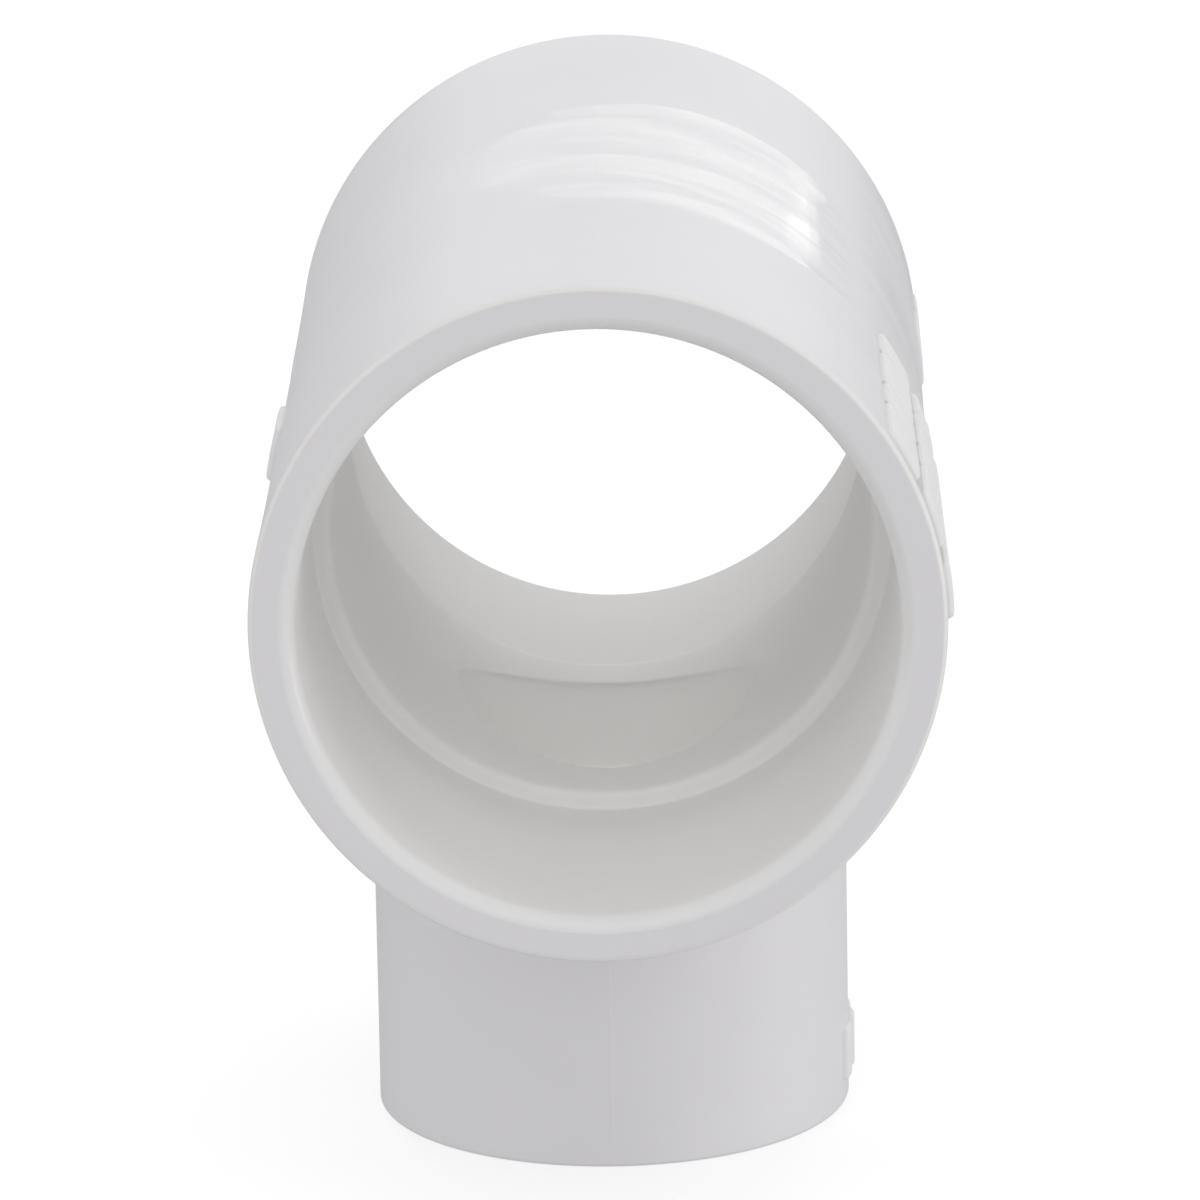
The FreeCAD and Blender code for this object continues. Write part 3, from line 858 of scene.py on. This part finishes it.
class Place:
    """Where a point of the plastic is, as node outputs, and masks that follow from it."""

    def __init__(self, nodes, sizes, marks):
        self.nodes, self.sizes, self.marks = nodes, sizes, marks
        self.vector = nodes.add("ShaderNodeTexCoord", output="Object")
        self.across, self.along, up = nodes.parts(self.vector)
        self.height = up - RUN_HEIGHT
        self.depth = nodes.function("ABSOLUTE", self.along)
        self.from_run = nodes.function("SQRT", self.across * self.across + self.height * self.height)
        self.from_branch = nodes.function("SQRT", self.across * self.across + self.along * self.along)
        self.from_top = nodes.function("ARCTAN2", self.across, self.height)

    def inside(self):
        """1 in the sockets and the waterways."""
        full, gone = 0.3 * MM, 0.9 * MM
        in_run = self.nodes.step(self.from_run, RUN_SEAT + gone, RUN_SEAT + full)
        in_branch = self.nodes.step(self.from_branch, BRANCH_SEAT + gone, BRANCH_SEAT + full)
        below = self.nodes.function("LESS_THAN", self.height, 0.0)
        return self.nodes.largest(in_run, in_branch * below)

    def core(self):
        """1 between the run's stops, fading out in its sockets."""
        before, beyond = 4 * MM, 2 * MM
        return self.nodes.step(self.depth, RUN_STOP + before, RUN_STOP - beyond)

    def stops(self):
        """1 on the run's pipe stops and on their eased edges."""
        eased, gone, flat, clear = 0.6 * MM, 2 * MM, 0.1 * MM, 0.2 * MM
        at_stop = self.nodes.step(self.depth, RUN_STOP - gone, RUN_STOP - eased)
        at_stop = at_stop * self.nodes.step(self.depth, RUN_STOP + clear, RUN_STOP + flat)
        return at_stop * self.nodes.function("LESS_THAN", self.from_run, RUN_SEAT - clear)

    def crossing(self):
        """1 on the back half of the eased edge where the waterways cross."""
        within, beyond, under, blur = 2 * MM, 0.6 * MM, 0.5 * MM, 0.4 * MM
        back_start, back_full = 8 * MM, 13 * MM
        core = BRANCH_SEAT - self.sizes.branch_ledge
        lowest = self.sizes.run_ledge - RUN_SEAT - under
        at_edge = self.nodes.band(self.from_branch, core - within, core + beyond, blur)
        at_edge = at_edge * self.nodes.band(self.height, lowest, 0.0, blur)
        return at_edge * self.nodes.step(self.along, back_start, back_full)

    def mouths(self):
        """1 on the easings inside the run's mouths."""
        end, start, full = self.sizes.half_run, 2 * MM, 1.4 * MM
        easing_end = RUN_SEAT + self.sizes.run_flare + self.sizes.lead_in_round
        at_mouth = self.nodes.step(self.depth, end - start, end - full)
        return at_mouth * self.nodes.function("LESS_THAN", self.from_run, easing_end)

    def rims(self):
        """1 on the run's flat rims, which get painted shade."""
        end, start, full = self.sizes.half_run, 0.2 * MM, 0.05 * MM
        return self.nodes.step(self.depth, end - start, end - full)

    def edges(self):
        """1 on the outer edges of those rims, which get a painted highlight."""
        corner, blur = self.sizes.rim_round - 0.25 * MM, 0.15 * MM
        end, outside = self.sizes.half_run - corner, self.sizes.run_rim - corner
        at_end = self.nodes.step(self.depth, end - blur, end)
        return at_end * self.nodes.step(self.from_run, outside - blur, outside)

    def bars(self):
        """1 on top of the raised bars, on the run and on the branch."""
        sizes, marks, nodes = self.sizes, self.marks, self.nodes
        start, full, margin = 0.15 * MM, 0.3 * MM, 1 * MM
        branch_start, branch_full, run_bottom = 0.2 * MM, 0.4 * MM, -10 * MM
        wall = nodes.add("ShaderNodeMapRange", None, {
            "Value": self.depth, "From Min": sizes.step_start, "From Max": sizes.half_run,
            "To Min": sizes.run_rim - sizes.run_waist, "To Max": sizes.run_rim})
        on_run = nodes.step(self.from_run - wall, start, full)
        on_run = on_run * nodes.function("GREATER_THAN", self.height, run_bottom)
        on_branch = nodes.step(self.from_branch - sizes.branch_rim, branch_start, branch_full)
        top = marks.branch_start + marks.branch_length + margin - RUN_HEIGHT
        return on_run + on_branch * nodes.function("LESS_THAN", self.height, top)

    def rows(self):
        """1 over the rows of bars in front on the right side, from the first bar to the last; painted shade
        darkens the gaps there.
        """
        sizes, marks, nodes = self.sizes, self.marks, self.nodes
        low = marks.right_rise - marks.arc / 2
        high = low + marks.arc + marks.pitch * (marks.right_rows - 1)
        turn = (math.pi / 2 - self.from_top - low) / (high - low)
        start = marks.right_start - sizes.half_run
        bars = (marks.right_bars // 2) * (marks.long + marks.short)
        way = (self.along - start) / (bars + (marks.right_bars - 1) * marks.gap)
        border = 0.01
        return nodes.band(turn, border, 1 - border, border) * nodes.band(way, border, 1 - border, border)

    def patch(self, finish):
        """1 on the long oval patch on top of the run that the mould has polished most.

        Its left end is ragged and fades out.
        """
        border, whole, end, faded = 1.0, 0.93, -1.0, -0.7
        smooth_to, ragged_from, middle_noise = -0.2, -0.8, 0.5
        round_way = (self.from_top - finish.patch_turn) / finish.patch_arc
        long_way = (self.along - finish.patch_middle) / finish.patch_half
        ragged = self.nodes.noise(self.vector, RAGGED_END) - middle_noise
        ragged = ragged * self.nodes.step(round_way, smooth_to, ragged_from)
        away = round_way * round_way + long_way * long_way + ragged
        return self.nodes.step(away, border, whole) * self.nodes.step(round_way, end, faded)

    def streaks(self):
        """Streaks that run round the tube."""
        stretched = 9 * MM
        vector = self.nodes.add("ShaderNodeCombineXYZ", None, {
            "X": self.from_top * stretched, "Y": self.along, "Z": 0.0})
        wide = self.nodes.step(self.nodes.noise(vector, WIDE_STREAKS), *WIDE_RISE)
        fine = self.nodes.step(self.nodes.noise(vector, FINE_STREAKS), *FINE_RISE)
        return wide * (1 - FINE_SHARE + FINE_SHARE * fine)


def plastic_colour(place, finish, inside, bars, cloud, patch, streaks):
    """Colour of the plastic: warmer inside, painted shade on the rims, the right side and the bar gaps,
    painted highlights on edges and stops.
    """
    mix = place.nodes.mix_colours
    outside = 1 - inside
    painted_shade = place.nodes.band(place.from_top, finish.shade_start, finish.shade_end, finish.shade_fade)
    thickness = 1 - FLOW_IN_SHADE + FLOW_IN_SHADE * cloud - STREAKS_IN_SHADE * streaks
    body = mix(cloud, finish.white, finish.shade)
    body = mix(inside, body, finish.warm)
    body = mix(place.core() * inside, body, finish.core)
    # Painted reflection on the patch's streaks.
    body = mix(patch * streaks, body, finish.streak_highlight)
    # Painted shade on the right side, broken up by the flow marks and the streaks.
    body = mix(painted_shade * outside * thickness, body, finish.dusty)
    # Painted shade on the flat rims.
    body = mix(place.rims(), body, finish.rim)
    # Painted highlight on the rims' outer edges.
    body = mix(place.edges(), body, finish.edge)
    # Painted highlight on the pipe stops and, fainter, on the mouths' easings.
    body = mix(place.stops() + place.mouths() * MOUTH_HIGHLIGHT, body, finish.lip)
    # Painted shade in the gaps between the bars.
    return mix(place.rows() * (1 - bars) * outside, body, finish.grime)


def moulded_plastic(finish, sizes, marks):
    """White moulded plastic: satin outside, matt inside, with a polished patch and painted highlights on the
    bars' tops.
    """
    material = bpy.data.materials.new("moulded_white_plastic")
    nodes = Nodes(material)
    place = Place(nodes, sizes, marks)
    inside, bars, patch = place.inside(), place.bars(), place.patch(finish)
    streaks = place.streaks()
    flow = nodes.noise(place.vector, FLOW_MARKS, detail=2.0, roughness=0.55)
    scuff = nodes.noise(place.vector, SCUFFS)
    peel = nodes.noise(place.vector, ORANGE_PEEL, detail=1.0, roughness=0.5)
    cloud = nodes.step(flow, *FLOW_RISE)
    lips = nodes.largest(place.stops(), place.crossing(), place.mouths())
    roughness = finish.roughness + inside * (finish.inner_roughness - finish.roughness)
    roughness = roughness + lips * (finish.lip_roughness - roughness)
    gloss = nodes.step(place.from_top, finish.gloss_end + finish.gloss_fade, finish.gloss_end)
    gloss = gloss * (finish.gloss_low + (1 - finish.gloss_low) * nodes.step(
        place.from_top, -finish.gloss_rise, finish.gloss_rise))
    bump = nodes.add("ShaderNodeBump", None, {
        "Strength": 0.05,
        "Distance": 0.05 * MM,
        "Height": peel + scuff * SCUFF_DEPTH,
    }, output="Normal")
    plastic = nodes.add("ShaderNodeBsdfPrincipled", None, {
        "Base Color": plastic_colour(place, finish, inside, bars, cloud, patch, streaks),
        "Roughness": roughness - FLOW_ROUGHNESS + flow * FLOW_ROUGHNESS + scuff * SCUFF_ROUGHNESS,
        "IOR": 1.46,
        "Specular IOR Level": 0.4,
        "Coat Weight": patch * gloss * finish.patch_coat * (1 - STREAK_GLOSS + STREAK_GLOSS * streaks),
        "Coat Roughness": 0.05,
        "Normal": bump,
    })
    # The bars' tops get a rougher skin and a lighter colour, which is a painted highlight.
    chalk = nodes.add("ShaderNodeBsdfPrincipled", None, {
        "Base Color": nodes.mix_colours(scuff * SCUFFED_HIGHLIGHT, finish.chalk, finish.white),
        "Roughness": 0.7,
        "Specular IOR Level": 0.1,
        "Normal": bump,
    })
    surface = nodes.add("ShaderNodeMixShader", None, {0: bars, 1: plastic, 2: chalk})
    nodes.add("ShaderNodeOutputMaterial", None, {"Surface": surface})
    return material


def pale_floor(name, light, glow, spot=1.0):
    """Matt pale floor with a hardly visible grain, and with light that comes up through it.

    The spot says how much brighter it glows where the tee stands.
    """
    material = bpy.data.materials.new(name)
    nodes = Nodes(material)
    place = nodes.add("ShaderNodeTexCoord", output="Object")
    grain, grain_shade = nodes.noise(place, FLOOR_GRAIN), 0.985
    dark = tuple(grain_shade * value for value in light)
    across, along, _ = nodes.parts(place)
    away = nodes.function("SQRT", across * across + along * along)
    spot_end, spot_full = BRANCH_SEAT + 3 * MM, BRANCH_SEAT - 1 * MM
    near = nodes.step(away, spot_end, spot_full)
    around = (1 / spot,) * 3
    surface = nodes.add("ShaderNodeBsdfPrincipled", None, {
        "Base Color": nodes.mix_colours(grain, tuple(light), dark),
        "Roughness": 0.9,
        "Specular IOR Level": 0.1,
        "Emission Color": nodes.mix_colours(near, around, (1.0, 1.0, 1.0)),
        "Emission Strength": glow * spot,
    })
    nodes.add("ShaderNodeOutputMaterial", None, {"Surface": surface})
    return material


class TEE_OT_moulding(bpy.types.Operator):
    """Mould the tee in one closed skin"""

    bl_idname = "tee.moulding"
    bl_label = "Mould the Tee"

    def execute(self, context):
        scene = context.scene
        skin = Skin()
        outside = mould_outside(skin, scene.tee_sizes, scene.tee_marks)
        inside = mould_inside(skin, scene.tee_sizes)
        close_rims(skin, outside, inside, scene.tee_sizes)
        mesh = mesh_of(skin, "tee_moulding")
        ripple(mesh, scene.tee_sizes)
        mesh.materials.append(
            moulded_plastic(scene.tee_finish, scene.tee_sizes, scene.tee_marks))
        piece = bpy.data.objects.new("tee_moulding", mesh)
        scene.collection.objects.link(piece)
        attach(piece, BODY)
        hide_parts(NODE)
        return {"FINISHED"}


# Distance from the tee and height, along the floor that the camera sees and the wall that it curves
# up into all round, and along the flat floor just below, which throws light back at the tee.
FLOOR_PROFILE = ((0.5, 0.0), (1.5, 0.0), (4.0, 0.0), *arc((4.0, 1.5), 1.5, 270, 360, 12)[1:], (5.5, 4.0))
BOUNCE_PROFILE = ((0.5, -1 * MM), (4.0, -1 * MM))
FLOOR_PARTS = 96
SENSOR_WIDTH = 36.0

# Soft lamps: name, place, point aimed at, width, height, power in watts and colour.
LAMPS = (
    ("front_fill", (0.0, -1.4, 0.5), (0, 0, 0.06), 2.4, 0.5, 2.05, (1.0, 1.0, 1.0)),
    ("front_softbox", (0.0, -0.9, 1.2), (0, 0, 0.06), 1.2, 0.5, 2.4, (0.985, 1.0, 0.975)),
    ("right_softbox", (1.4, -0.15, 0.03), (0, 0, 0.05), 0.6, 0.4, 3.4, (1.0, 1.0, 1.0)),
    ("left_softbox", (-1.4, -0.15, 0.05), (0, 0, 0.05), 0.6, 0.4, 0.6, (1.0, 1.0, 1.0)),
    ("back_softbox", (0.05, 1.3, 0.28), (0, 0, 0.1), 0.8, 0.34, 0.6, (0.99, 1.0, 0.98)),
    ("glint_card", (0.32, 1.25, 0.17), (0, 0, 0.1), 0.06, 0.07, 0.007, (1.0, 1.0, 0.97)),
    ("high_softbox", (0.0, 1.0, 1.0), (0, 0, 0.08), 1.0, 0.5, 2.7, (0.985, 1.0, 0.975)),
)


def add_lamp(scene, name, place, aim, width, height, power, tint):
    """A rectangular soft lamp that points at a place."""
    light = bpy.data.lights.new(name, "AREA")
    light.shape = "RECTANGLE"
    light.size, light.size_y = width, height
    light.energy = power
    light.color = tint
    lamp = bpy.data.objects.new(name, light)
    lamp.location = place
    lamp.rotation_euler = (Vector(aim) - Vector(place)).to_track_quat("-Z", "Y").to_euler()
    lamp.visible_camera = False
    scene.collection.objects.link(lamp)


def add_floor(scene, name, profile, material, for_camera):
    """A round floor. The camera sees one, and the other takes part in the light on the tee."""
    shape = bmesh.new()
    turns = [FULL_TURN * part / FLOOR_PARTS for part in range(FLOOR_PARTS)]
    rings = [[shape.verts.new((away * math.cos(turn), away * math.sin(turn), height))
              for turn in turns] for away, height in profile]
    shape.faces.new(rings[0])
    for near, far in zip(rings, rings[1:]):
        for quad in zip(near, far, far[1:] + far[:1], near[1:] + near[:1]):
            shape.faces.new(quad)
    mesh = bpy.data.meshes.new(name)
    shape.to_mesh(mesh)
    shape.free()
    mesh.shade_smooth()
    mesh.materials.append(material)
    floor = bpy.data.objects.new(name, mesh)
    floor.visible_camera = for_camera
    floor.visible_diffuse = floor.visible_glossy = floor.visible_transmission = not for_camera
    floor.visible_shadow = False
    scene.collection.objects.link(floor)


def add_sky(scene):
    """Even light from all round."""
    world = bpy.data.worlds.new("studio")
    world.use_nodes = True
    background = world.node_tree.nodes["Background"]
    background.inputs["Color"].default_value = (0.98, 0.98, 1.0, 1.0)
    background.inputs["Strength"].default_value = scene.tee_stage.sky
    scene.world = world


def add_camera(scene):
    """The camera at the photograph's viewing angle."""
    stage = scene.tee_stage
    level = math.cos(stage.elevation)
    back = Vector((
        math.sin(stage.azimuth) * level, -math.cos(stage.azimuth) * level, math.sin(stage.elevation)))
    aim = Vector((stage.look_across, 0, RUN_HEIGHT - stage.look_down))
    data = bpy.data.cameras.new("camera")
    data.lens = stage.lens
    data.sensor_width = SENSOR_WIDTH
    data.clip_start, data.clip_end = 0.05, 50.0
    camera = bpy.data.objects.new("camera", data)
    turn = (-back).to_track_quat("-Z", "Y").to_matrix().to_4x4()
    camera.matrix_world = (
        Matrix.Translation(aim + back * stage.distance) @ turn @ Matrix.Rotation(stage.roll, 4, "Z"))
    scene.collection.objects.link(camera)
    scene.camera = camera


class TEE_OT_stage(bpy.types.Operator):
    """Set the floor, the soft light and the camera"""

    bl_idname = "tee.stage"
    bl_label = "Set the Stage"

    def execute(self, context):
        scene = context.scene
        stage = scene.tee_stage
        pale = pale_floor("pale_floor", stage.floor, stage.floor_glow)
        bounce = pale_floor("bounce", stage.bounce, stage.bounce_glow, stage.bounce_spot)
        add_floor(scene, "floor", FLOOR_PROFILE, pale, True)
        add_floor(scene, "floor_bounce", BOUNCE_PROFILE, bounce, False)
        add_sky(scene)
        for lamp in LAMPS:
            add_lamp(scene, *lamp)
        add_camera(scene)
        scene.view_settings.view_transform = "Standard"
        return {"FINISHED"}


class TEE_PT_sidebar(bpy.types.Panel):
    """Sizes and steps of the tee."""

    bl_label = "Reducing Tee"
    bl_idname = "TEE_PT_sidebar"
    bl_space_type = "VIEW_3D"
    bl_region_type = "UI"
    bl_category = "Tee"

    def draw(self, context):
        for name in GROUPS:
            group = getattr(context.scene, name)
            box = self.layout.box()
            for key in group.__annotations__:
                box.prop(group, key)
        for operator in (TEE_OT_moulding, TEE_OT_stage):
            self.layout.operator(operator.bl_idname)


GROUPS = {
    "tee_sizes": TeeSizes, "tee_marks": TeeMarks, "tee_finish": TeeFinish, "tee_stage": TeeStage}
CLASSES = (*GROUPS.values(), TEE_OT_moulding, TEE_OT_stage, TEE_PT_sidebar)


def register():
    for item in CLASSES:
        bpy.utils.register_class(item)
    for name, group in GROUPS.items():
        setattr(bpy.types.Scene, name, bpy.props.PointerProperty(type=group))


def unregister():
    for name in GROUPS:
        delattr(bpy.types.Scene, name)
    for item in reversed(CLASSES):
        bpy.utils.unregister_class(item)


def main():
    """Build the tee and its stage."""
    register()
    bpy.ops.tee.moulding()
    bpy.ops.tee.stage()


if __name__ == "__main__":
    main()
